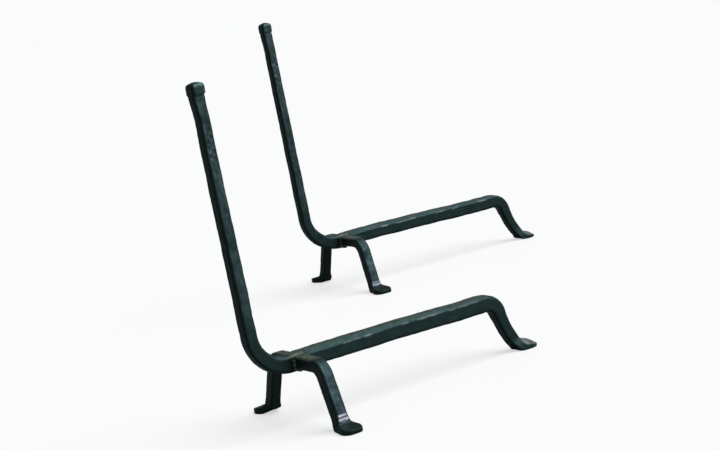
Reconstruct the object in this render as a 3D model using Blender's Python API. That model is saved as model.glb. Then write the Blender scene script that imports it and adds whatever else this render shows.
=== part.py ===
"""A pair of hand-forged wrought-iron andirons (firedogs), in metres, +Z up.

Each andiron is one forged square bar, bent into a head, an upright, a front bend, a billet bar, a
rear leg and a rear foot.  Two short front legs are butt-welded to the sides of the bar just behind
the front bend.  Seen by someone who faces the uprights, +X is to the right, +Y runs back along the
billet bars, and the soles of all the feet stand on z = 0.  The origin is the middle of the pair's
footprint.  The left andiron slides along X against the right one.
"""
import math

import bmesh
import bpy
from mathutils import Matrix, Vector

MM = 0.001

# Where the two andirons stand, in millimetres.  An andiron's own frame has y = 0 at its front legs.
SPACING = 607.0                 # from one billet bar to the other, across
STAGGER = 492.0                 # how far the left andiron stands behind the right one
LEFT_TURN = math.radians(-3.3)  # the left andiron is turned a little

# Sizes that both andirons share, in millimetres.
GAP = 0.3                       # clearance between pieces that touch
STEP = 4.0                      # spacing of the sections along a member
CHAMFER = 0.17                  # corner chamfer, as a share of the thickness
HEAD_LENGTH = 14.0              # upset block on top of the upright
SHOULDER = 3.0                  # step from the head down to the upright
FLARE = 22.0                    # the head's front flows into the upright over this length
FOOT_THICKNESS = 8.0
TOE_THICKNESS = 6.0
SOLE_SINK = 1.0                 # depth of metal that the flat sole takes off a foot's underside
REAR_FOOT_LENGTH = 34.0
REAR_TOE_THICKNESS = 5.0
TOE_LENGTH = 27.0
ANKLE_RADIUS = 10.0
BEND_TAPER = 30.0               # the upright is at its thickest this far above the front bend
JOINT_OFFSET = 40.0             # the billet bar is at its thickest this far past the front bend
REAR_TAPER = 25.0               # the bar thins over this length on each side of the rear bend
BEAD = 4.4                      # leg length of a weld's fillet
BEAD_RIPPLE = 0.18              # share by which the bead swells and narrows
BEAD_RIPPLES = 9

# One andiron: (y, z) corners of the bar's centre line, bend radii and thicknesses.  The top also
# has a sway: how far it leans across, out of the plane of the rest of the bar.  Each front leg has
# the reach of its shoulder, ankle and toe from the bar's middle, how far back its ankle stands, how
# much further back its toe points, the radius of its shoulder, its width and its thickness.
RIGHT = {
    "sway": -2.5,
    "top": (-75.5, 446.4),
    "front_corner": (-58.9, 76.9),
    "knee": (42.0, 79.4),
    "rear_corner": (316.0, 75.2),
    "shin": (331.0, 33.0),
    "heel": (347.0, 3.6),
    "toe_tip": 376.6,
    "radii": (62.0, 150.0, 24.0, 60.0, 14.0),
    "head": 19.6,
    "upright_top": 15.2,
    "upright_foot": 17.6,
    "billet_front": 23.4,
    "billet_rear": 22.6,
    "billet_width": 20.4,
    "rear_leg": 16.9,
    "rear_foot_width": 35.0,
    "leg_z": 79.0,
    "foot_width": 29.0,
    "outer": {
        "shoulder": 58.0, "ankle": 84.0, "toe": 113.0, "back": 0.0, "toe_back": 1.0, "radius": 18.0,
        "width": 17.0, "thickness": 16.8,
    },
    "inner": {
        "shoulder": 47.5, "ankle": 81.5, "toe": 108.0, "back": 3.0, "toe_back": -6.5, "radius": 20.0,
        "width": 15.2, "thickness": 15.4,
    },
}
LEFT = dict(
    RIGHT,
    sway=1.8,
    top=(-79.6, 451.6),
    front_corner=(-60.7, 77.2),
    knee=(42.0, 79.6),
    rear_corner=(317.0, 76.2),
    shin=(332.8, 34.0),
    heel=(350.0, 3.8),
    head=18.0,
    upright_top=14.5,
    upright_foot=16.5,
    billet_front=22.2,
    billet_rear=21.3,
    billet_width=19.4,
    rear_leg=16.5,
    leg_z=78.5,
    outer={
        "shoulder": 50.0, "ankle": 83.0, "toe": 109.0, "back": 3.0, "toe_back": -5.0, "radius": 20.0,
        "width": 15.0, "thickness": 13.2,
    },
    inner={
        "shoulder": 60.0, "ankle": 83.0, "toe": 116.0, "back": -1.0, "toe_back": 0.0, "radius": 20.0,
        "width": 16.8, "thickness": 14.7,
    },
)

IRON = (0.020, 0.033, 0.036, 1.0)
LEG_IRON = (0.028, 0.042, 0.049, 1.0)
WELD_METAL = (0.075, 0.068, 0.050, 1.0)


def clear_scene():
    for thing in list(bpy.data.objects):
        bpy.data.objects.remove(thing, do_unlink=True)


def metal(name, colour, roughness):
    material = bpy.data.materials.new(name)
    material.use_nodes = True
    shader = material.node_tree.nodes["Principled BSDF"]
    shader.inputs["Base Color"].default_value = colour
    shader.inputs["Roughness"].default_value = roughness
    shader.inputs["Metallic"].default_value = 0.8
    return material


def rounded_route(corners, radii):
    """Points along straight runs joined by arcs, STEP apart, with the length up to each one."""
    outline = [Vector(corners[0])]
    for index, radius in enumerate(radii, start=1):
        before, corner, after = (Vector(corners[index + k]) for k in (-1, 0, 1))
        back = before - corner
        ahead = after - corner
        half_angle = back.angle(ahead) / 2
        run = min(radius / math.tan(half_angle), 0.49 * ahead.length)
        radius = run * math.tan(half_angle)
        bisector = (back.normalized() + ahead.normalized()).normalized()
        centre = corner + bisector * (radius / math.sin(half_angle))
        start = corner + back.normalized() * run - centre
        end = corner + ahead.normalized() * run - centre
        turns = max(4, round(math.pi / 2 * radius / STEP) + 2)
        for k in range(turns + 1):
            outline.append(centre + start.lerp(end, k / turns).normalized() * radius)
    outline.append(Vector(corners[-1]))

    lengths = [0.0]
    for here, following in zip(outline, outline[1:]):
        lengths.append(lengths[-1] + (following - here).length)
    count = round(lengths[-1] / STEP)
    route = []
    segment = 0
    for k in range(count + 1):
        along = lengths[-1] * k / count
        while segment < len(outline) - 2 and lengths[segment + 1] < along:
            segment += 1
        share = (along - lengths[segment]) / (lengths[segment + 1] - lengths[segment])
        route.append((outline[segment].lerp(outline[segment + 1], share), along))
    return route


def profile(stations, along):
    """The size at a length along the member, read from (length, size) stations."""
    for (low, size_low), (high, size_high) in zip(stations, stations[1:]):
        if along <= high:
            share = max(0.0, (along - low) / (high - low))
            return size_low + (size_high - size_low) * share
    return stations[-1][1]


def octagon(width, height):
    """A square section with chamfered corners, as (sideways, upwards) pairs."""
    chamfer = CHAMFER * min(width, height)
    a = width / 2
    b = height / 2
    corners = []
    for sx, sy in ((1, 1), (-1, 1), (-1, -1), (1, -1)):
        pair = [(sx * a, sy * (b - chamfer)), (sx * (a - chamfer), sy * b)]
        corners += pair if sx == sy else pair[::-1]
    return corners


def forge(name, route, sideways, widths, heights, material, place):
    """Sweep the chamfered section along the route, flatten the soles and close both ends."""
    points = [point for point, _ in route]
    mesh = bmesh.new()
    rings = []
    for k, (point, along) in enumerate(route):
        tangent = (points[min(k + 1, len(points) - 1)] - points[max(k - 1, 0)]).normalized()
        upwards = tangent.cross(sideways).normalized()
        across = upwards.cross(tangent)
        ring = []
        for x, y in octagon(profile(widths, along), profile(heights, along)):
            corner = point + across * x + upwards * y
            corner.z = max(corner.z, 0.0)
            ring.append(mesh.verts.new(place @ (corner * MM)))
        rings.append(ring)
    for ring, following in zip(rings, rings[1:]):
        for k in range(8):
            n = (k + 1) % 8
            mesh.faces.new((ring[k], ring[n], following[n], following[k]))
    mesh.faces.new(rings[0])
    mesh.faces.new(reversed(rings[-1]))
    return finish(name, mesh, material)


def finish(name, mesh, material):
    bmesh.ops.recalc_face_normals(mesh, faces=mesh.faces[:])
    data = bpy.data.meshes.new(name)
    mesh.to_mesh(data)
    mesh.free()
    data.shade_smooth()
    data.set_sharp_from_angle(angle=math.radians(28))
    data.materials.append(material)
    piece = bpy.data.objects.new(name, data)
    bpy.context.scene.collection.objects.link(piece)
    return piece


def round_toe(length, width):
    """Stations that spread a foot to its full width and then follow a half circle to its toe."""
    radius = width / 2
    stations = []
    for past_centre in (0.0, 0.2, 0.4, 0.6, 0.8, 0.95):
        along = length - radius * (1 - past_centre)
        stations.append((along, width * math.sqrt(1 - past_centre ** 2)))
    return stations


def forged_bar(side, size, place):
    """Head, upright, front bend, billet bar, rear leg and rear foot, in one piece of iron."""
    top = Vector((size["sway"], *size["top"]))
    corner = Vector((0, *size["front_corner"]))
    knee = Vector((0, *size["knee"]))
    rear = Vector((0, *size["rear_corner"]))
    shin = Vector((0, *size["shin"]))
    heel = Vector((0, *size["heel"]))
    toe = Vector((0, size["toe_tip"], REAR_TOE_THICKNESS / 2 - SOLE_SINK))
    route = rounded_route([top, corner, knee, rear, shin, heel, toe], size["radii"])

    length = route[-1][1]
    bend = (top - corner).length
    billet = bend + JOINT_OFFSET
    turn = length - (toe - heel).length - (heel - shin).length - (shin - rear).length + 12
    foot = length - REAR_FOOT_LENGTH
    head = size["head"]
    heights = [
        (0, head * 0.72), (3, head * 0.95), (6, head), (HEAD_LENGTH, head),
        (HEAD_LENGTH + FLARE, size["upright_top"]),
        (bend - BEND_TAPER, size["upright_foot"]),
        (billet, size["billet_front"]),
        (turn - REAR_TAPER, size["billet_rear"]),
        (turn + REAR_TAPER, size["rear_leg"]),
        (foot - 6, size["rear_leg"]), (foot + 14, FOOT_THICKNESS + 1),
        (length, REAR_TOE_THICKNESS),
    ]
    widths = [
        (0, head * 0.72), (3, head * 0.95), (6, head), (HEAD_LENGTH, head),
        (HEAD_LENGTH + SHOULDER, size["upright_top"] + 0.6),
        (HEAD_LENGTH + FLARE, size["upright_top"]),
        (bend - BEND_TAPER, size["upright_foot"]),
        (billet - 25, size["billet_width"]),
        (turn, size["billet_width"]),
        (turn + REAR_TAPER, size["rear_leg"]),
        (foot - 8, size["rear_leg"]), (foot + 2, size["rear_leg"] + 10),
    ] + round_toe(length, size["rear_foot_width"])
    material = metal(side + "_bar_iron", IRON, 0.45)
    return forge(side + "_forged_bar", route, Vector((1, 0, 0)), widths, heights, material, place)


def front_leg(name, size, leg, outward, place):
    """A square bar that leaves the side of the billet bar, turns down and spreads into a foot."""
    face = size["billet_width"] / 2 + GAP
    thickness = leg["thickness"]
    width = leg["width"]
    root = Vector((outward * face, 0, size["leg_z"]))
    shoulder = Vector((outward * leg["shoulder"], 0, size["leg_z"]))
    ankle = Vector((outward * leg["ankle"], leg["back"], FOOT_THICKNESS / 2))
    toe_back = leg["back"] + leg["toe_back"]
    toe = Vector((outward * leg["toe"], toe_back, TOE_THICKNESS / 2 - SOLE_SINK))
    route = rounded_route([root, shoulder, ankle, toe], (leg["radius"], ANKLE_RADIUS))
    length = route[-1][1]
    foot = length - TOE_LENGTH
    heights = [
        (0, thickness), (foot - 8, thickness), (foot + 9, FOOT_THICKNESS + 1.5),
        (length, TOE_THICKNESS),
    ]
    widths = [
        (0, width), (foot - 14, width), (foot, width + 4),
    ] + round_toe(length, size["foot_width"])
    material = metal(name + "_iron", LEG_IRON, 0.42)
    return forge(name, route, Vector((0, -outward, 0)), widths, heights, material, place)


def weld_bead(name, size, leg, outward, place):
    """A rippled fillet of weld metal, wrapped round the leg's root against the side of the bar."""
    section = octagon(leg["width"] + 2 * GAP, leg["thickness"] + 2 * GAP)
    face = size["billet_width"] / 2 + GAP
    steps_per_side = 4
    mesh = bmesh.new()
    rings = []
    loop = []
    for k, start in enumerate(section):
        end = section[(k + 1) % 8]
        for step in range(steps_per_side):
            share = step / steps_per_side
            loop.append((Vector(start).lerp(Vector(end), share), Vector(end) - Vector(start)))
    for k, (point, along) in enumerate(loop):
        before = loop[k - 1][1] if k % steps_per_side == 0 else along
        out = before.normalized() + along.normalized()
        out = Vector((out.y, -out.x)).normalized()
        if out.dot(point) < 0:
            out.negate()
        swell = 1 + BEAD_RIPPLE * math.sin(2 * math.pi * BEAD_RIPPLES * k / len(loop))
        reach = BEAD * swell
        ring = []
        for outwards, away in ((0, 0), (1, 0), (0.93, 0.45), (0.62, 0.8), (0, 1)):
            y = point.x + out.x * outwards * reach
            z = point.y + out.y * outwards * reach + size["leg_z"]
            x = outward * (face + away * reach)
            ring.append(mesh.verts.new(place @ (Vector((x, y, z)) * MM)))
        rings.append(ring)
    for k, ring in enumerate(rings):
        following = rings[(k + 1) % len(rings)]
        for i in range(5):
            n = (i + 1) % 5
            mesh.faces.new((ring[i], ring[n], following[n], following[i]))
    return finish(name, mesh, metal(name + "_metal", WELD_METAL, 0.55))


def andiron(side, size, outer_direction, place):
    pieces = [forged_bar(side, size, place)]
    for position, outward in (("outer", outer_direction), ("inner", -outer_direction)):
        leg = size[position]
        pieces.append(front_leg(f"{side}_{position}_leg", size, leg, outward, place))
        pieces.append(weld_bead(f"{side}_{position}_weld", size, leg, outward, place))
    return pieces


def centre_footprint(pieces):
    """Move all pieces so that the origin is the middle of the pair's footprint."""
    corners = [vertex.co for piece in pieces for vertex in piece.data.vertices]
    middle = [(min(c[axis] for c in corners) + max(c[axis] for c in corners)) / 2 for axis in (0, 1)]
    for piece in pieces:
        piece.data.transform(Matrix.Translation((-middle[0], -middle[1], 0)))


clear_scene()
right_place = Matrix.Identity(4)
left_place = Matrix.Translation(Vector((-SPACING, STAGGER, 0)) * MM) @ Matrix.Rotation(LEFT_TURN, 4, "Z")
pair = andiron("right", RIGHT, 1, right_place) + andiron("left", LEFT, -1, left_place)
centre_footprint(pair)
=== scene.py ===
import math

import bpy
import numpy as np
from mathutils import Matrix, Vector, noise


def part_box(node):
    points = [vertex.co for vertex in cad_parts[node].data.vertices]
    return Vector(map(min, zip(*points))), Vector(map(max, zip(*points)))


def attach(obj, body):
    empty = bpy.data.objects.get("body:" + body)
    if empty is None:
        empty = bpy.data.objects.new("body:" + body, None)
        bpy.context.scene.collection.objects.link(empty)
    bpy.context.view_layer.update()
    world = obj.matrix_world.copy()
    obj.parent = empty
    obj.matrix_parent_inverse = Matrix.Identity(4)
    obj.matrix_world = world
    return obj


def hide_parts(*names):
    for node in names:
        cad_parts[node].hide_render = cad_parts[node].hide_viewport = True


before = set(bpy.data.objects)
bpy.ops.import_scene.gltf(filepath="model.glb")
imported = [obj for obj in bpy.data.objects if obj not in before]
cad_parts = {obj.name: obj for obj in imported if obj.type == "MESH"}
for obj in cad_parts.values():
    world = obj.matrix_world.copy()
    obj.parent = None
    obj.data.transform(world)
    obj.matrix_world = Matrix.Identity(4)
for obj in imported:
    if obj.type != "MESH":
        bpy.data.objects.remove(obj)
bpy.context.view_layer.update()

# The looks of a pair of hand-forged wrought-iron andirons.  Each forged bar and leg is a closely
# spaced sweep along nearly the same centre line as its CAD node, with hammer blows and dents in its
# surface, and each weld bead is a rippled ring.  Sizes are in millimetres until a mesh is made.  An
# andiron's own frame has y = 0 at its front legs and +Y back along the billet bar.

MM = 0.001
SPACING = 1.2                   # between the sections of a sweep
AROUND = 96                     # points round a section
SHARPNESS = 30.0                # how crisp the edges of a section are
PROUD = 0.35                    # hammer blows and rounding take this much off the faces again

HEAD_LENGTH = 14.0
HEAD_DOME = 1.6
FLARE = 24.0
FOOT_THICKNESS = 8.0
TOE_THICKNESS = 6.0
SOLE_SINK = 1.0
REAR_FOOT_LENGTH = 34.0
REAR_TOE_THICKNESS = 4.0
TOE_LENGTH = 27.0
ANKLE_RADIUS = 10.0
BEND_TAPER = 30.0
JOINT_OFFSET = 40.0
REAR_TAPER = 25.0
ROOT_DEPTH = 1.2                # a leg's root reaches this far into the side of the bar
LEFT_TURN = math.radians(-3.3)

WANDER = 0.9                    # a forged bar's centre line strays by up to about this much
WANDER_LENGTH = 33.0
FAR_RIM = 7.6                   # the rear foot's top rises by this much from its near to its far side

BEAD = 5.4                      # leg length of a weld's fillet
BEAD_STEPS = 14                 # points across the bead
RIPPLE_SPACING = 3.1

# One andiron: (y, z) corners of the bar's centre line, bend radii and thicknesses.  The top also
# has a sway: how far it leans across, out of the plane of the rest of the bar.  leg_z is the height
# of the legs' roots, and scuffs says how worn the front feet are, from 0 to 1.  Each front leg has
# the reach of its shoulder, ankle and toe from the bar's middle, how far back its ankle stands, how
# much further back its toe points, the radius of its shoulder, its width and its thickness, and how
# far its heel sticks out, which is below 0 where the heel is cut back.
RIGHT = {
    "sway": -2.5,
    "top": (-75.3, 445.0),
    "front_corner": (-58.9, 76.7),
    "knee": (42.0, 79.4),
    "rear_corner": (316.0, 75.2),
    "shin": (331.0, 33.0),
    "heel": (347.0, 3.6),
    "toe_tip": 376.0,
    "radii": (62.0, 150.0, 24.0, 60.0, 16.0),
    "head": 18.6,
    "upright_top": 15.2,
    "upright_foot": 17.6,
    "billet_front": 23.4,
    "billet_rear": 22.6,
    "billet_width": 20.4,
    "rear_leg": 16.9,
    "rear_foot_width": 35.0,
    "leg_z": 79.0,
    "foot_width": 29.0,
    "scuffs": 1.0,
    "outer": {
        "shoulder": 58.0, "ankle": 84.0, "toe": 113.0, "back": 0.0, "toe_back": 1.0, "radius": 18.0,
        "width": 17.0, "thickness": 16.8, "heel": 2.4,
    },
    "inner": {
        "shoulder": 47.5, "ankle": 81.5, "toe": 108.0, "back": 3.0, "toe_back": -6.5, "radius": 20.0,
        "width": 15.2, "thickness": 15.4, "heel": -3.0,
    },
}
LEFT = dict(
    RIGHT,
    sway=1.8,
    top=(-79.6, 450.2),
    front_corner=(-60.7, 77.2),
    knee=(42.0, 79.6),
    rear_corner=(317.0, 76.2),
    shin=(332.8, 34.0),
    heel=(350.0, 3.8),
    head=17.0,
    upright_top=14.5,
    upright_foot=16.5,
    billet_front=22.2,
    billet_rear=21.3,
    billet_width=19.4,
    rear_leg=16.5,
    leg_z=78.5,
    scuffs=0.45,
    outer={
        "shoulder": 50.0, "ankle": 83.0, "toe": 109.0, "back": 3.0, "toe_back": -5.0, "radius": 20.0,
        "width": 15.0, "thickness": 13.2, "heel": 1.0,
    },
    inner={
        "shoulder": 60.0, "ankle": 83.0, "toe": 116.0, "back": -1.0, "toe_back": 0.0, "radius": 20.0,
        "width": 16.8, "thickness": 14.7, "heel": 2.4,
    },
)

# The eight sides of a section, counted from +across towards the underside.
NEAR, NEAR_UNDER, UNDER, FAR_UNDER, FAR, FAR_UPPER, UPPER, NEAR_UPPER = range(8)
FACING = np.radians(45.0 * np.arange(8))
NORMALS = np.stack([np.cos(FACING), np.sin(FACING)], axis=1)

# What the four channels of a bar's or a leg's paint say about its surface: rubbed blotches with a painted
# sheen, brown patina, scuffs with a painted highlight, and painted shade.
RUBBED_AND_SHEEN, PATINA, SCUFFS_AND_HIGHLIGHT, PAINTED_SHADE = range(4)


# --- centre lines -------------------------------------------------------------------------------

def rounded_route(corners, radii):
    """Closely spaced points along straight runs joined by arcs, and the length up to each one."""
    outline = [Vector(corners[0])]
    for index, radius in enumerate(radii, start=1):
        before, corner, after = (Vector(corners[index + k]) for k in (-1, 0, 1))
        back = before - corner
        ahead = after - corner
        half_angle = back.angle(ahead) / 2
        run = min(radius / math.tan(half_angle), 0.49 * ahead.length)
        radius = run * math.tan(half_angle)
        bisector = (back.normalized() + ahead.normalized()).normalized()
        centre = corner + bisector * (radius / math.sin(half_angle))
        start = corner + back.normalized() * run - centre
        end = corner + ahead.normalized() * run - centre
        turns = max(12, round(2 * run))
        for k in range(turns + 1):
            outline.append(centre + start.lerp(end, k / turns).normalized() * radius)
    outline.append(Vector(corners[-1]))
    points = np.array([tuple(point) for point in outline])
    lengths = np.concatenate([[0.0], np.cumsum(np.linalg.norm(np.diff(points, axis=0), axis=1))])
    return points, lengths


def smoothed(values, stations, width):
    """The values with their kinks rounded over about this length."""
    reach = np.exp(-0.5 * ((stations[:, None] - stations[None, :]) / width) ** 2)
    reach *= np.gradient(stations)[None, :]
    return reach @ values / reach.sum(axis=1)


def stations_for(length, toe_radius):
    """Lengths at which sections are placed: closer at the start and round the toe."""
    start = 4.0 * (1 - np.cos(np.linspace(0, math.pi / 2, 9)))
    toe_start = length - toe_radius
    middle = np.linspace(4.0, toe_start, round((toe_start - 4.0) / SPACING))
    toe = toe_start + toe_radius * np.sin(np.linspace(0, math.radians(86), 26))
    return np.concatenate([start, middle[1:], toe[1:]])


class Sweep:
    """A bar's sections: centres and directions in the andiron's frame, and distances to 8 sides."""

    def __init__(self, route, stations, across):
        points, lengths = route
        self.along = stations
        self.length = lengths[-1]
        self.centres = np.stack([np.interp(stations, lengths, points[:, k]) for k in range(3)], axis=1)
        self.centres = np.stack([smoothed(self.centres[:, k], stations, 1.5) for k in range(3)], axis=1)
        tangents = np.gradient(self.centres, stations, axis=0)
        tangents /= np.linalg.norm(tangents, axis=1)[:, None]
        self.under = np.cross(tangents, np.array(across))
        self.under /= np.linalg.norm(self.under, axis=1)[:, None]
        self.across = np.cross(self.under, tangents)
        self.sides = np.zeros((len(stations), 8))

    def set_sides(self, near, under, far, upper, chamfers):
        """Distances to the four faces, and the chamfer on each corner, all along the bar."""
        faces = {NEAR: near, UNDER: under, FAR: far, UPPER: upper}
        for side, distance in faces.items():
            self.sides[:, side] = distance + PROUD
        for corner, chamfer in chamfers.items():
            beside = self.sides[:, corner - 1] + self.sides[:, (corner + 1) % 8]
            self.sides[:, corner] = (beside - chamfer) / math.sqrt(2)

    def hammer(self, rng, blows):
        """Dish each side with a row of hammer blows: {side: (spacing, reach, depth)}."""
        for side, (spacing, reach, depth) in blows.items():
            self.sides[:, side] -= hammered(rng, self.along, spacing, reach, depth)

    def build(self):
        """Points of every section, as places across and under the centre line, and side shares."""
        turn = np.linspace(0, 2 * math.pi, AROUND, endpoint=False)
        half_width = (self.sides[:, NEAR] + self.sides[:, FAR]) / 2
        half_depth = (self.sides[:, UNDER] + self.sides[:, UPPER]) / 2
        x = half_width[:, None] * np.cos(turn)[None, :]
        y = half_depth[:, None] * np.sin(turn)[None, :]
        pull = x[:, :, None] * NORMALS[:, 0] + y[:, :, None] * NORMALS[:, 1]
        pull = np.clip(pull, 0, None) / self.sides[:, None, :]
        peak = pull.max(axis=2, keepdims=True)
        powers = (pull / peak) ** SHARPNESS
        total = powers.sum(axis=2)
        gauge = peak[:, :, 0] * total ** (1 / SHARPNESS)
        self.x = x / gauge
        self.y = y / gauge
        self.shares = powers / total[:, :, None]
        normals = self.shares @ NORMALS
        normals /= np.linalg.norm(normals, axis=2)[:, :, None]
        self.normal_x = normals[:, :, 0]
        self.normal_y = normals[:, :, 1]
        self.sink = np.zeros_like(self.x)

    def dent(self, side, along, place, reach_along, reach_place, depth):
        """Sink a round dish into one side, at a place across that side."""
        beside = self.y if side in (NEAR, FAR) else self.x
        distance = ((self.along[:, None] - along) / reach_along) ** 2
        distance = distance + ((beside - place) / reach_place) ** 2
        dish = depth * np.clip(1 - distance, 0, None) * self.shares[:, :, side]
        self.sink = np.maximum(self.sink, dish)

    def roughen(self, seed, coarse, fine):
        """Uneven scale on the whole surface, in two sizes."""
        flat = np.stack([np.broadcast_to(self.along[:, None], self.x.shape), self.x, self.y], axis=2)
        for size, depth in ((11.0, coarse), (3.2, fine)):
            shifted = flat.reshape(-1, 3) / size + seed
            values = [noise.noise(Vector(point)) for point in shifted]
            self.sink = self.sink + depth * np.array(values).reshape(self.x.shape)

    def positions(self):
        """The surface points, with the dents and the roughness sunk in."""
        x = self.x - self.normal_x * self.sink
        y = self.y - self.normal_y * self.sink
        points = self.centres[:, None] + self.across[:, None] * x[:, :, None]
        return points + self.under[:, None] * y[:, :, None]


def hammered(rng, along, spacing, reach, depth):
    """Depth of the dishes that a row of hammer blows leaves along a side."""
    dishes = np.zeros_like(along)
    centre = rng.uniform(0, spacing)
    while centre < along[-1]:
        half = reach * rng.uniform(0.7, 1.3)
        dish = depth * rng.uniform(0.25, 1.0) * (1 - ((along - centre) / half) ** 2)
        dishes = np.maximum(dishes, dish)
        centre += spacing * rng.uniform(0.7, 1.3)
    return dishes


def profile(along, *knots):
    """Values that run straight from one (length, value) knot to the next."""
    lengths, values = zip(*knots)
    return np.interp(along, lengths, values)


def window(along, start, end, fade):
    """1 between start and end, falling smoothly to 0 over the fade on each side."""
    rise = np.clip((along - start + fade) / fade, 0, 1)
    fall = np.clip((end + fade - along) / fade, 0, 1)
    share = np.minimum(rise, fall)
    return share * share * (3 - 2 * share)


# --- meshes -------------------------------------------------------------------------------------

def mesh_from_sweep(name, sweep, paint, place, domed_start):
    """Join the sections with quads, close both ends and store the paint and the bar coordinates."""
    points = sweep.positions()
    rings = len(points)
    lay = np.stack([np.broadcast_to(sweep.along[:, None], sweep.x.shape), sweep.x, sweep.y], axis=2)
    vertices = [points.reshape(-1, 3)]
    lays = [lay.reshape(-1, 3)]
    paints = [paint.reshape(-1, 4)]
    faces = []
    for ring in range(rings - 1):
        for k in range(AROUND):
            n = (k + 1) % AROUND
            low = ring * AROUND
            faces.append((low + k, low + n, low + AROUND + n, low + AROUND + k))

    outward = points[0].mean(axis=0) - points[4].mean(axis=0)
    outward /= np.linalg.norm(outward)
    previous = np.arange(AROUND)
    middle = points[0].mean(axis=0)
    count = rings * AROUND
    for share in (0.8, 0.55, 0.3):
        ring = middle + (points[0] - middle) * share + outward * domed_start * (1 - share ** 2)
        vertices.append(ring)
        lays.append(lay[0] * (1, share, share))
        paints.append(paint[0])
        current = np.arange(count, count + AROUND)
        for k in range(AROUND):
            n = (k + 1) % AROUND
            faces.append((previous[n], previous[k], current[k], current[n]))
        previous = current
        count += AROUND
    vertices.append([middle + outward * domed_start])
    lays.append([lay[0].mean(axis=0)])
    paints.append([paint[0].mean(axis=0)])
    for k in range(AROUND):
        faces.append((previous[(k + 1) % AROUND], previous[k], count))
    count += 1

    last = (rings - 1) * AROUND
    vertices.append([points[-1].mean(axis=0)])
    lays.append([lay[-1].mean(axis=0)])
    paints.append([paint[-1].mean(axis=0)])
    for k in range(AROUND):
        faces.append((last + k, last + (k + 1) % AROUND, count))
    vertices, lays, paints = (np.concatenate(rows) for rows in (vertices, lays, paints))
    return make_mesh(name, vertices, faces, lays, paints, place)


def make_mesh(name, vertices, faces, lays, paints, place):
    """A smooth-shaded object in metres, cut off flat at the floor, with its lay and paint."""
    vertices = vertices.copy()
    vertices[:, 2] = np.maximum(vertices[:, 2], 0.0)
    data = bpy.data.meshes.new(name)
    data.from_pydata((vertices * MM).tolist(), [], [tuple(map(int, face)) for face in faces])
    data.transform(place)
    lay = data.attributes.new("lay", "FLOAT_VECTOR", "POINT")
    lay.data.foreach_set("vector", (np.asarray(lays) * MM).astype(np.float32).ravel())
    paint = data.attributes.new("paint", "FLOAT_COLOR", "POINT")
    paint.data.foreach_set("color", np.clip(paints, 0, 1).astype(np.float32).ravel())
    data.shade_smooth()
    data.update()
    piece = bpy.data.objects.new(name, data)
    bpy.context.scene.collection.objects.link(piece)
    return piece


# --- the forged bar -----------------------------------------------------------------------------

def round_toe(along, length, radius, width, thickness):
    """Half width and half thickness of a blunt, rounded toe, as shares of the foot's own."""
    past = np.clip((along - length + radius) / radius, 0, 1)
    width = width * (1 - past ** 2.3) ** (1 / 2.3)
    rim = np.clip((past - 0.8) / 0.2, 0, 1)
    thickness = thickness * np.sqrt(1 - 0.75 * rim ** 2)
    return width, thickness


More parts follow.
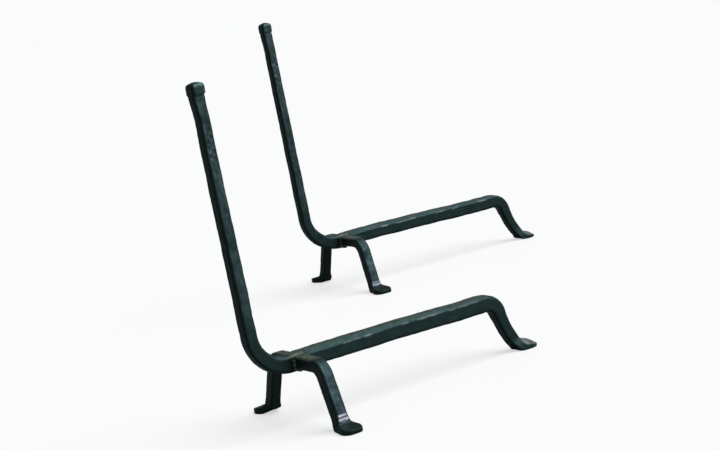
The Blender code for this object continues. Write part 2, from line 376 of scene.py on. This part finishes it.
def forged_shape(size, seed, rng):
    """The swept bar, and the lengths along it of the legs' joint, the rear bend and the rear foot."""
    top = Vector((size["sway"], *size["top"]))
    corner = Vector((0, *size["front_corner"]))
    knee = Vector((0, *size["knee"]))
    rear = Vector((0, *size["rear_corner"]))
    shin = Vector((0, *size["shin"]))
    heel = Vector((0, *size["heel"]))
    toe = Vector((0, size["toe_tip"], REAR_TOE_THICKNESS / 2 - SOLE_SINK))
    route = rounded_route([top, corner, knee, rear, shin, heel, toe], size["radii"])
    length = route[1][-1]
    toe_radius = size["rear_foot_width"] / 2
    bar = Sweep(route, stations_for(length, toe_radius), (1, 0, 0))
    along = bar.along

    bend = (top - corner).length
    billet = bend + JOINT_OFFSET
    turn = length - (toe - heel).length - (heel - shin).length - (shin - rear).length + 12
    foot = length - REAR_FOOT_LENGTH
    depth = profile(
        along,
        (0, size["upright_top"]),
        (bend - BEND_TAPER, size["upright_foot"]),
        (billet, size["billet_front"]),
        (turn - REAR_TAPER, size["billet_rear"]),
        (turn + REAR_TAPER, size["rear_leg"]),
        (foot - 8, size["rear_leg"] - 1),
        (foot + 10, FOOT_THICKNESS),
        (length, REAR_TOE_THICKNESS),
    )
    width = profile(
        along,
        (0, size["upright_top"]),
        (bend - BEND_TAPER, size["upright_foot"]),
        (billet - 25, size["billet_width"]),
        (turn, size["billet_width"]),
        (turn + REAR_TAPER, size["rear_leg"]),
        (foot - 8, size["rear_leg"]),
        (foot + 2, size["rear_leg"] + 10),
        (foot + 9, size["rear_foot_width"]),
        (length, size["rear_foot_width"]),
    )
    depth = smoothed(depth, along, 3.0) / 2
    width = smoothed(width, along, 3.0) / 2
    width, depth = round_toe(along, length, toe_radius, width, depth)

    # A hand-forged bar is never quite straight.
    wander = WANDER * window(along, 30, foot - 60, 40)
    for direction, drift in ((bar.across, 0.5), (bar.under, 7.5)):
        shift = np.array([noise.noise(Vector((station / WANDER_LENGTH, drift, seed))) for station in along])
        bar.centres = bar.centres + direction * (wander * shift)[:, None]

    joint = along[np.argmin(np.abs(bar.centres[:, 1]) + bar.centres[:, 2])]
    extra = (size["head"] - size["upright_top"]) / 2
    crown = np.sqrt(1 - 0.55 * np.clip(1 - along / 6.5, 0, 1) ** 2)
    neck = 0.5 * window(along, HEAD_LENGTH + 2, HEAD_LENGTH + 3, 1.2)
    ledge = extra * window(along, -9, HEAD_LENGTH, 1.6) - neck
    flare = extra * (1 - np.clip((along - HEAD_LENGTH) / FLARE, 0, 1)) ** 1.6
    near = (width + ledge) * crown
    # The far side of the rear foot starts to spread later than the near side.
    late_spread = (width - size["rear_leg"] / 2) * window(along, foot - 6, foot + 4, 8)
    far = (width - late_spread + ledge) * crown
    rear_heel = 1.8 * window(along, foot + 5, foot + 7, 5)
    under = (depth + flare) * crown + rear_heel
    upper = (depth + 0.4 * ledge + 0.6 * flare) * crown

    on_billet = window(along, joint + 14, turn - 12, 12)
    on_foot = window(along, foot + 8, length + 20, 14)
    slim = np.minimum(width, depth)
    small = 0.30 * slim * (1 - 0.4 * on_foot)
    chamfers = {
        NEAR_UNDER: small,
        FAR_UNDER: small * 1.1,
        FAR_UPPER: small + on_billet * 0.4,
        NEAR_UPPER: small + on_billet * np.interp(along, [joint, turn], [3.6, 0.4]),
    }
    bar.set_sides(near, under, far, upper, chamfers)
    bar.hammer(rng, {
        NEAR: (13.0, 9.0, 0.40),
        UNDER: (14.0, 9.5, 0.42),
        FAR: (13.0, 9.0, 0.40),
        UPPER: (12.0, 8.5, 0.48),
        NEAR_UNDER: (10.0, 7.0, 0.40),
        FAR_UNDER: (10.0, 7.0, 0.40),
        FAR_UPPER: (9.0, 7.0, 0.55),
        NEAR_UPPER: (9.0, 7.0, 0.55),
    })
    bar.build()
    for strike in range(110):
        struck = (NEAR, FAR, UPPER, UNDER)[strike % 4]
        where = rng.uniform(HEAD_LENGTH + 20, foot)
        across = rng.uniform(-5, 5)
        reach = (rng.uniform(4, 8), rng.uniform(3, 6))
        bar.dent(struck, where, across, *reach, rng.uniform(0.12, 0.34))
    # A zigzag of deeper blows below the head, and one broad dish in the rear foot.
    for strike in range(9):
        bar.dent(NEAR, 60 + 4.5 * strike, -3 + 4.5 * (strike % 2), 4.2, 3.4, 1.0)
    bar.dent(UPPER, length - 15, -1.0, 12.0, 11.0, 1.4)
    bar.roughen(seed, 0.22, 0.07)
    farther = 0.2 - bar.x / size["rear_foot_width"]
    on_toe = bar.shares[:, :, UPPER] * window(along[:, None], foot + 9, length, 8)
    bar.sink = bar.sink - FAR_RIM * farther * on_toe
    return bar, joint, turn, foot


def forged_paint(bar, joint, turn, foot, rng):
    """Rubbed flanks and a painted sheen on the upper chamfers, brown patina on top, scuffs on the facet and
    a painted highlight on the rear foot, painted shade on the front.
    """
    length = bar.length
    shares = bar.shares
    s = bar.along[:, None]
    paint = np.zeros(bar.x.shape + (4,))
    upper_edge = shares[:, :, NEAR_UPPER] + shares[:, :, FAR_UPPER]
    flanks = shares[:, :, NEAR] + shares[:, :, FAR]
    front = shares[:, :, UNDER] + shares[:, :, NEAR_UNDER] + shares[:, :, FAR_UNDER]
    top_half = shares[:, :, UPPER] + upper_edge
    # Painted sheen on the upper chamfers along the billet; the upright's flanks lighter where rubbed.
    paint[:, :, RUBBED_AND_SHEEN] = upper_edge * window(s, joint + 26, turn - 4, 14) * 0.2
    paint[:, :, RUBBED_AND_SHEEN] += flanks * (window(s, -9, 90, 150) * 1.2 + window(s, 220, 270, 60) * 0.6)
    dressed = top_half * window(s, joint - 9, joint + 6, 6) * 0.75
    paint[:, :, PATINA] = np.maximum.reduce([
        dressed,
        shares[:, :, UPPER] * window(s, joint, turn + 12, 10) * 0.7,
        1.5 * shares[:, :, UPPER] * window(s, foot + 8, length, 4),
    ])
    # Painted highlight on the rear foot's top: faint all over, bright near its heel end.
    toe_highlight = 0.2 * window(s, foot + 9, length, 4)
    toe_highlight = toe_highlight + 0.8 * window(s + 0.4 * np.abs(bar.x), foot + 14, foot + 19, 3)
    paint[:, :, SCUFFS_AND_HIGHLIGHT] = shares[:, :, UPPER] * toe_highlight
    facet_border = 4 * shares[:, :, NEAR_UPPER] * shares[:, :, NEAR]
    for spot in rng.uniform(joint + 50, turn - 30, 14):
        paint[:, :, SCUFFS_AND_HIGHLIGHT] += 0.12 * facet_border * window(s, spot - 4, spot + 4, 4)
    # Painted shade on the front and underside faces, on the flanks about the legs' joint and on the upper
    # chamfers along the billet.
    paint[:, :, PAINTED_SHADE] = front * window(s, -9, length, 10)
    paint[:, :, PAINTED_SHADE] += flanks * window(s, joint - 14, joint + 10, 8)
    paint[:, :, PAINTED_SHADE] += 0.45 * upper_edge * window(s, joint + 4, turn + 10, 8)
    return paint


def forged_bar(side, size, seed, place):
    """The square bar that runs in one piece from the head to the rear toe."""
    rng = np.random.default_rng(seed)
    bar, joint, turn, foot = forged_shape(size, seed, rng)
    paint = forged_paint(bar, joint, turn, foot, rng)
    piece = mesh_from_sweep(f"{side}_bar", bar, paint, place, HEAD_DOME)
    piece.data.materials.append(MATERIALS["forged_iron"])
    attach(piece, f"{side}_andiron")
    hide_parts(f"{side}_forged_bar")


# --- the front legs -----------------------------------------------------------------------------

def front_leg(side, position, size, outward, seed, place):
    """A square bar that leaves the side of the billet bar, turns down and spreads into a foot."""
    leg = size[position]
    face = size["billet_width"] / 2 - ROOT_DEPTH
    root = Vector((outward * face, 0, size["leg_z"]))
    shoulder = Vector((outward * leg["shoulder"], 0, size["leg_z"]))
    ankle = Vector((outward * leg["ankle"], leg["back"], FOOT_THICKNESS / 2))
    toe_y = leg["back"] + leg["toe_back"]
    toe = Vector((outward * leg["toe"], toe_y, TOE_THICKNESS / 2 - SOLE_SINK))
    route = rounded_route([root, shoulder, ankle, toe], (leg["radius"], ANKLE_RADIUS))
    length = route[1][-1]
    toe_radius = size["foot_width"] / 2
    bar = Sweep(route, stations_for(length, toe_radius), (0, -outward, 0))
    along = bar.along

    foot = length - TOE_LENGTH
    depth = profile(
        along,
        (0, leg["thickness"]),
        (foot - 8, leg["thickness"]),
        (foot + 9, FOOT_THICKNESS + 1.5),
        (length, TOE_THICKNESS),
    )
    width = profile(
        along,
        (0, leg["width"]),
        (foot - 14, leg["width"]),
        (foot, leg["width"] + 4),
        (length - toe_radius, size["foot_width"]),
        (length, size["foot_width"]),
    )
    depth = smoothed(depth, along, 2.0) / 2
    width = smoothed(width, along, 2.5) / 2
    width, depth = round_toe(along, length, toe_radius, width, depth)
    spur = 1.2 * window(along, foot - 6, foot - 4, 2.5)
    spur = spur + leg["heel"] * window(along, foot - 2, foot + 4, 4)
    on_foot = window(along, foot + 6, length + 20, 10)
    small = 0.28 * np.minimum(width, depth) * (1 - 0.4 * on_foot)
    bar.set_sides(width, depth + spur, width, depth, {
        NEAR_UNDER: small, FAR_UNDER: small, FAR_UPPER: small, NEAR_UPPER: small,
    })
    rng = np.random.default_rng(seed)
    bar.hammer(rng, {
        NEAR: (12.0, 8.0, 0.25),
        UNDER: (12.0, 8.0, 0.25),
        FAR: (12.0, 8.0, 0.25),
        UPPER: (11.0, 7.5, 0.30),
        NEAR_UNDER: (8.0, 6.0, 0.35),
        FAR_UNDER: (8.0, 6.0, 0.35),
        FAR_UPPER: (8.0, 6.0, 0.35),
        NEAR_UPPER: (8.0, 6.0, 0.35),
    })
    bar.build()
    for strike in range(24):
        struck = (NEAR, FAR, UPPER, UNDER)[strike % 4]
        where = rng.uniform(20, foot)
        across = rng.uniform(-4, 4)
        reach = (rng.uniform(3, 7), rng.uniform(3, 5))
        bar.dent(struck, where, across, *reach, rng.uniform(0.1, 0.3))
    bar.roughen(seed, 0.14, 0.05)

    shares = bar.shares
    s = along[:, None]
    bend_end = (shoulder - root).length + 6
    top_half = shares[:, :, UPPER] + shares[:, :, NEAR_UPPER] + shares[:, :, FAR_UPPER]
    paint = np.zeros(bar.x.shape + (4,))
    whole_front = window(s, bend_end, foot - 2, 20)
    below_bend = window(s, bend_end + 8, bend_end + 26, 16)
    # Painted sheen on the leg's upper side.
    paint[:, :, RUBBED_AND_SHEEN] = shares[:, :, UPPER] * (0.5 * whole_front + 0.5 * below_bend)
    paint[:, :, PATINA] = top_half * window(s, 1, bend_end - 22, 9)
    scuffs = sum(window(s, foot - 15 + 4.4 * k, foot - 13.4 + 4.4 * k, 0.8) for k in range(2))
    scuffs = scuffs + 0.6 * window(s + 0.7 * np.abs(bar.x), foot - 6, foot - 2, 1.2)
    paint[:, :, SCUFFS_AND_HIGHLIGHT] = shares[:, :, UPPER] * scuffs * size["scuffs"]
    # Painted shade on every side but the upper one, and over the whole foot.
    paint[:, :, PAINTED_SHADE] = (1 - shares[:, :, UPPER]) * window(s, -5, foot + 2, 10)
    paint[:, :, PAINTED_SHADE] = np.maximum(paint[:, :, PAINTED_SHADE], window(s, foot + 2, length + 9, 3))
    piece = mesh_from_sweep(f"{side}_{position}_front_leg", bar, paint, place, 0.0)
    piece.data.materials.append(MATERIALS["leg_iron"])
    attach(piece, f"{side}_andiron")
    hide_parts(f"{side}_{position}_leg")


# --- the weld beads -----------------------------------------------------------------------------

def weld_bead(side, position, size, outward, seed, place):
    """A rippled fillet of weld metal round the leg's root, dressed flat on top.

    Its paint says where it is a ripple's crest, the dressed top and the underside.
    """
    half_width = size[position]["width"] / 2
    half_depth = size[position]["thickness"] / 2
    face = size["billet_width"] / 2
    perimeter = 4 * (half_width + half_depth)
    count = round(perimeter / 0.4)
    rows = []
    lays = []
    paints = []
    for k in range(count):
        turn = 2 * math.pi * k / count
        x = math.cos(turn)
        y = math.sin(turn)
        gauge = (abs(x) ** 7 + abs(y) ** 7) ** (1 / 7)
        edge = Vector((x / gauge * half_width, y / gauge * half_depth))
        out = Vector((
            abs(x) ** 6 / half_width * math.copysign(1, x),
            abs(y) ** 6 / half_depth * math.copysign(1, y),
        ))
        out.normalize()
        place_along = perimeter * k / count
        ripple = abs(math.sin(math.pi * (place_along / RIPPLE_SPACING)))
        lump = noise.noise(Vector((x * 2.1, y * 2.1, seed)))
        on_top = min(1.0, 1.6 * max(0.0, y) ** 3)
        reach = BEAD * (0.72 + 0.20 * ripple + 0.5 * lump) * (1 - 0.95 * on_top)
        for step in range(BEAD_STEPS):
            bow = math.pi / 2 * step / (BEAD_STEPS - 1)
            swell = 0.80 + 0.20 * math.sin(2 * bow)
            away = reach * math.sin(bow) * swell - 0.4
            outwards = reach * math.cos(bow) * swell - 0.4
            point = edge + out * outwards
            rows.append((outward * (face + away), point.x, point.y + size["leg_z"]))
            lays.append((place_along, outwards, away))
            paints.append((ripple, on_top, max(0.0, -y), 1.0))
        inner = edge - out * 0.6
        rows.append((outward * (face - 0.6), inner.x, inner.y + size["leg_z"]))
        lays.append((place_along, 0.0, 0.0))
        paints.append((0.0, 0.0, 0.0, 1.0))
    ring = BEAD_STEPS + 1
    faces = []
    for k in range(count):
        following = (k + 1) % count
        for step in range(ring):
            n = (step + 1) % ring
            quad = (k * ring + step, k * ring + n, following * ring + n, following * ring + step)
            faces.append(quad[::-1] if outward > 0 else quad)
    name = f"{side}_{position}_weld_bead"
    piece = make_mesh(name, np.array(rows), faces, lays, np.array(paints), place)
    piece.data.materials.append(MATERIALS["weld_metal"])
    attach(piece, f"{side}_andiron")
    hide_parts(f"{side}_{position}_weld")


# --- materials ----------------------------------------------------------------------------------

class Nodes:
    """A material's node tree, with short calls for the nodes used here."""

    def __init__(self, name):
        self.material = bpy.data.materials.new(name)
        self.material.use_nodes = True
        self.tree = self.material.node_tree
        self.shader = self.tree.nodes["Principled BSDF"]

    def add(self, kind, inputs=None, **settings):
        made = self.tree.nodes.new(kind)
        for key, value in settings.items():
            setattr(made, key, value)
        for key, value in (inputs or {}).items():
            self.feed(made.inputs[key], value)
        return made

    def feed(self, socket, value):
        if isinstance(value, bpy.types.NodeSocket):
            self.tree.links.new(value, socket)
        else:
            socket.default_value = value

    def math(self, operation, a, b=0.0, clamp=False):
        made = self.add("ShaderNodeMath", {0: a, 1: b}, operation=operation, use_clamp=clamp)
        return made.outputs[0]

    def ramp(self, value, low, high):
        made = self.add("ShaderNodeMapRange", {"Value": value, "From Min": low, "From Max": high})
        made.interpolation_type = "SMOOTHSTEP"
        return made.outputs["Result"]

    def mix(self, factor, a, b):
        made = self.add("ShaderNodeMix", data_type="RGBA")
        self.feed(made.inputs["Factor"], factor)
        self.feed(made.inputs[6], a)
        self.feed(made.inputs[7], b)
        return made.outputs[2]

    def noise(self, where, scale, detail, roughness=0.55):
        made = self.add("ShaderNodeTexNoise", {"Vector": where, "Scale": scale, "Detail": detail})
        made.inputs["Roughness"].default_value = roughness
        return made.outputs["Fac"]

    def bump(self, height, strength, distance, below=None):
        made = self.add("ShaderNodeBump", {"Height": height, "Strength": strength, "Distance": distance})
        if below:
            self.feed(made.inputs["Normal"], below)
        return made.outputs["Normal"]


def scale_iron(name, dark, light, shade_colour):
    """Satin forge scale: dark teal, mottled with blue-grey where it is rubbed and where a sheen is painted,
    brown patina, scuffs and a painted highlight, and painted shade.
    """
    nodes = Nodes(name)
    where = nodes.add("ShaderNodeTexCoord").outputs["Object"]
    lay = nodes.add("ShaderNodeAttribute", attribute_name="lay").outputs["Vector"]
    paint = nodes.add("ShaderNodeAttribute", attribute_name="paint")
    channels = nodes.add("ShaderNodeSeparateColor", {"Color": paint.outputs["Color"]}).outputs
    # The paint's channels: rubbed blotches with a painted sheen, patina, scuffs with a painted highlight,
    # and painted shade in the alpha.
    rubbed_and_sheen, patina, scuffs_and_highlight = channels[0], channels[1], channels[2]
    painted_shade = paint.outputs["Alpha"]
    stretch = nodes.add("ShaderNodeVectorMath", {0: lay, 1: (0.3, 1.0, 1.0)}, operation="MULTIPLY")
    drawn = stretch.outputs[0]

    blotches = nodes.noise(where, 70, 4, 0.6)
    grain = nodes.noise(drawn, 420, 3)
    flecks = nodes.noise(where, 900, 2)
    rubbing_and_sheen = nodes.math("MULTIPLY", rubbed_and_sheen, nodes.ramp(blotches, 0.2, 0.7))
    mottle = nodes.math("MULTIPLY", nodes.ramp(blotches, 0.35, 0.75), 0.16)
    tone = nodes.math("ADD", mottle, rubbing_and_sheen)
    worn = nodes.math("MULTIPLY", nodes.ramp(grain, 0.35, 0.7), 0.9)
    tone = nodes.math("MULTIPLY", tone, nodes.math("ADD", worn, 0.35), clamp=True)
    colour = nodes.mix(tone, dark, light)
    # Painted shade: darker towards the shade colour.
    colour = nodes.mix(nodes.math("MULTIPLY", painted_shade, 0.75), colour, shade_colour)
    browned = nodes.math("MULTIPLY", patina, nodes.ramp(nodes.noise(where, 160, 4), 0.25, 0.6))
    colour = nodes.mix(browned, colour, (0.118, 0.142, 0.108, 1.0))
    # Scuffs and a painted highlight, pale blue-grey.
    bright = nodes.math("MULTIPLY", scuffs_and_highlight, nodes.ramp(nodes.noise(where, 260, 3), 0.3, 0.42))
    colour = nodes.mix(bright, colour, (0.55, 0.56, 0.66, 1.0))

    nodes.feed(nodes.shader.inputs["Base Color"], colour)
    nodes.shader.inputs["Metallic"].default_value = 0.8
    nodes.shader.inputs["Specular IOR Level"].default_value = 0.15
    uneven = nodes.math("MULTIPLY", flecks, 0.18)
    rough = nodes.math("ADD", nodes.math("MULTIPLY", browned, 0.15), uneven)
    nodes.feed(nodes.shader.inputs["Roughness"], nodes.math("ADD", rough, 0.42))
    pits = nodes.bump(nodes.noise(where, 800, 3), 0.35, 0.0003)
    nodes.feed(nodes.shader.inputs["Normal"], nodes.bump(grain, 0.3, 0.0004, pits))
    return nodes.material


def weld_metal(name):
    """Brown-green weld metal, lighter on the crests of its ripples."""
    nodes = Nodes(name)
    where = nodes.add("ShaderNodeTexCoord").outputs["Object"]
    paint = nodes.add("ShaderNodeAttribute", attribute_name="paint")
    channels = nodes.add("ShaderNodeSeparateColor", {"Color": paint.outputs["Color"]}).outputs
    spots = nodes.noise(where, 500, 3)
    spotted = nodes.ramp(spots, 0.4, 0.75)
    colour = nodes.mix(spotted, (0.010, 0.015, 0.010, 1.0), (0.075, 0.085, 0.060, 1.0))
    crest, dressed, underside = channels[0], channels[1], channels[2]
    colour = nodes.mix(nodes.math("MULTIPLY", crest, 0.2), colour, (0.07, 0.08, 0.06, 1.0))
    colour = nodes.mix(nodes.math("MULTIPLY", underside, 0.5), colour, (0.085, 0.112, 0.082, 1.0))
    colour = nodes.mix(nodes.math("MULTIPLY", dressed, 0.8), colour, (0.008, 0.012, 0.010, 1.0))
    nodes.feed(nodes.shader.inputs["Base Color"], colour)
    nodes.shader.inputs["Metallic"].default_value = 0.6
    uneven = nodes.math("MULTIPLY", spots, 0.3)
    nodes.feed(nodes.shader.inputs["Roughness"], nodes.math("ADD", uneven, 0.4))
    nodes.feed(nodes.shader.inputs["Normal"], nodes.bump(spots, 0.4, 0.0004))
    return nodes.material


MATERIALS = {
    "forged_iron": scale_iron(
        "forged_iron",
        dark=(0.021, 0.044, 0.044, 1.0),
        light=(0.088, 0.140, 0.146, 1.0),
        shade_colour=(0.004, 0.013, 0.011, 1.0),
    ),
    "leg_iron": scale_iron(
        "leg_iron",
        dark=(0.014, 0.030, 0.030, 1.0),
        light=(0.068, 0.114, 0.134, 1.0),
        shade_colour=(0.013, 0.026, 0.023, 1.0),
    ),
    "weld_metal": weld_metal("weld_metal"),
}


# --- the pair -----------------------------------------------------------------------------------

def andiron_place(side, turn):
    """The andiron's own frame in the part's: midway between its two welds, on the floor."""
    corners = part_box(f"{side}_outer_weld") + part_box(f"{side}_inner_weld")
    middle = sum(corners, Vector()) / 4
    return Matrix.Translation((middle.x, middle.y, 0.0)) @ Matrix.Rotation(turn, 4, "Z")


def andiron(side, size, outer_direction, seed, place):
    """One andiron: its forged bar, and a leg and a weld bead on each side."""
    forged_bar(side, size, seed, place)
    legs = (("outer", outer_direction), ("inner", -outer_direction))
    for offset, (position, outward) in enumerate(legs):
        front_leg(side, position, size, outward, seed + 10 + offset, place)
        weld_bead(side, position, size, outward, seed + 20 + offset, place)


right_place = andiron_place("right", 0.0)
andiron("right", RIGHT, 1, 11, right_place)
andiron("left", LEFT, -1, 47, andiron_place("left", LEFT_TURN))


# --- floor, light and camera --------------------------------------------------------------------

FLOOR_BOUNCE = (0.30, 0.31, 0.31, 1.0)      # the floor lights the iron less than its own white would


def plain_floor():
    """A wide pale floor, just under the soles."""
    data = bpy.data.meshes.new("floor")
    half = 60.0
    corners = [(-half, -half, 0), (half, -half, 0), (half, half, 0), (-half, half, 0)]
    data.from_pydata(corners, [], [(0, 1, 2, 3)])
    nodes = Nodes("pale_floor")
    rays = nodes.add("ShaderNodeLightPath")
    seen = rays.outputs["Is Camera Ray"]
    colour = nodes.mix(seen, FLOOR_BOUNCE, (0.35, 0.35, 0.35, 1.0))
    nodes.feed(nodes.shader.inputs["Base Color"], colour)
    nodes.feed(nodes.shader.inputs["Emission Color"], nodes.mix(seen, (0, 0, 0, 1), (1, 1, 1, 1)))
    nodes.shader.inputs["Emission Strength"].default_value = 0.59
    nodes.shader.inputs["Roughness"].default_value = 0.5
    nodes.shader.inputs["Specular IOR Level"].default_value = 0.1
    data.materials.append(nodes.material)
    floor = bpy.data.objects.new("floor", data)
    floor.location.z = -0.0002
    bpy.context.scene.collection.objects.link(floor)


def soft_light(name, direction, strength, spread):
    """A distant, wide soft box that shines from this direction."""
    data = bpy.data.lights.new(name, "SUN")
    data.energy = strength
    data.angle = math.radians(spread)
    lamp = bpy.data.objects.new(name, data)
    lamp.rotation_euler = (-Vector(direction)).to_track_quat("-Z", "Y").to_euler()
    bpy.context.scene.collection.objects.link(lamp)


def studio():
    """An even white surround, dimmer as a light than it looks, and a soft light from above."""
    world = bpy.data.worlds.new("studio")
    world.use_nodes = True
    tree = world.node_tree
    backdrop = tree.nodes["Background"]
    backdrop.inputs["Color"].default_value = (0.985, 0.985, 0.985, 1.0)
    backdrop.inputs["Strength"].default_value = 1.0
    fill = tree.nodes.new("ShaderNodeBackground")
    fill.inputs["Color"].default_value = (0.92, 0.97, 1.0, 1.0)
    fill.inputs["Strength"].default_value = 0.28
    rays = tree.nodes.new("ShaderNodeLightPath")
    either = tree.nodes.new("ShaderNodeMixShader")
    tree.links.new(rays.outputs["Is Camera Ray"], either.inputs[0])
    tree.links.new(fill.outputs[0], either.inputs[1])
    tree.links.new(backdrop.outputs[0], either.inputs[2])
    tree.links.new(either.outputs[0], tree.nodes["World Output"].inputs["Surface"])
    bpy.context.scene.world = world
    soft_light("key", (0.55, 0.5, 1.0), 3.3, 60)
    bpy.context.scene.view_settings.view_transform = "Standard"


CAMERA_TURN = math.radians(56.342)
CAMERA_DROP = math.radians(10.016)
CAMERA_ROLL = math.radians(-9.0)
CAMERA_FROM_ANDIRON = (2.04499, -1.23489, 0.65718)      # metres, from the right andiron's origin
CAMERA_LENS = 98.28


def main_camera():
    """A long lens from the front right, looking slightly down and rolled."""
    forward = Vector((
        -math.sin(CAMERA_TURN) * math.cos(CAMERA_DROP),
        math.cos(CAMERA_TURN) * math.cos(CAMERA_DROP),
        -math.sin(CAMERA_DROP),
    ))
    right = Vector((math.cos(CAMERA_TURN), math.sin(CAMERA_TURN), 0.0))
    up = right.cross(forward)
    rolled_right = right * math.cos(CAMERA_ROLL) + up * math.sin(CAMERA_ROLL)
    rolled_up = up * math.cos(CAMERA_ROLL) - right * math.sin(CAMERA_ROLL)
    data = bpy.data.cameras.new("camera")
    data.sensor_width = 36.0
    data.lens = CAMERA_LENS
    data.clip_end = 200.0
    camera = bpy.data.objects.new("camera", data)
    axes = Matrix((rolled_right, rolled_up, -forward)).transposed().to_4x4()
    where = right_place.translation + Vector(CAMERA_FROM_ANDIRON)
    camera.matrix_world = Matrix.Translation(where) @ axes
    bpy.context.scene.collection.objects.link(camera)
    bpy.context.scene.camera = camera


plain_floor()
studio()
main_camera()
